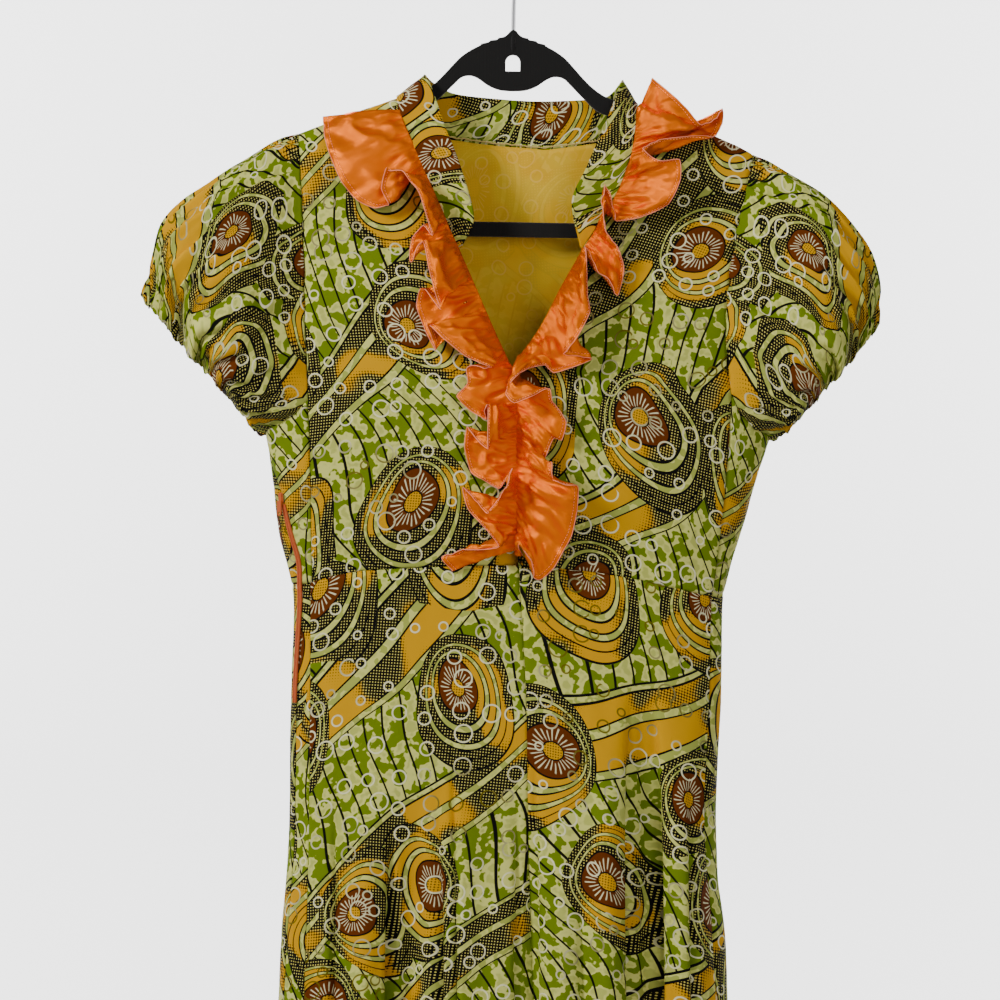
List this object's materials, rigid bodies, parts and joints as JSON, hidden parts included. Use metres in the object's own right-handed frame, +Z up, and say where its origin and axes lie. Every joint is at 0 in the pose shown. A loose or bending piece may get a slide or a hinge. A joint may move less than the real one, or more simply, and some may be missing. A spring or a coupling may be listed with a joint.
{
  "type": "wax print dress on hanger",
  "caption": "Knee-length printed cotton dress with short puff sleeves, stand collar, V neck edged with satin ruffles and a side zip, hung on a flat hanger with a wire hook",
  "frame": {"origin": "Inner top of the hanger's hook, where it hangs on a rail", "axes": "+Z up along the dress, -Y out of the dress's front, +X to the viewer's right. The hanger lies in the XZ plane, tilted 0.9 degrees."},
  "size_m": [0.5913, 0.1257, 1.1171],
  "materials": {
    "wax_print": "matt woven cotton with a wax print",
    "satin": "smooth orange satin",
    "voile": "thin mustard lining cloth",
    "flocked_hanger": "black, flocked",
    "steel": "plain wire",
    "zip_tape": "orange tape and coil",
    "zip_metal": "orange enamel"
  },
  "bodies": {
    "dress": {"bodice_front": "wax_print", "bodice_back": "wax_print", "bodice_side_left": "wax_print", "bodice_side_right": "wax_print", "lining_back": "voile", "collar_stand": "wax_print", "skirt_front_left": "wax_print", "skirt_front_right": "wax_print", "skirt_side_left": "wax_print", "skirt_side_right": "wax_print", "skirt_back": "wax_print", "sleeve_left": "wax_print", "sleeve_right": "wax_print", "ruffle_left": "satin", "ruffle_right": "satin", "zip_tape": "zip_tape", "zip_slider": "zip_metal", "hanger": "flocked_hanger", "hanger_hook": "steel"},
    "pull_tab": {"zip_pull": "zip_metal"}
  },
  "joints": [
    {"name": "pull_hinge", "type": "hinge", "parent": "dress", "child": "pull_tab", "pos_m": [-0.18831, -0.01828, -0.45886], "axis": [-0.7575, 0.6529, 0], "range_deg": [0, 150]}
  ]
}
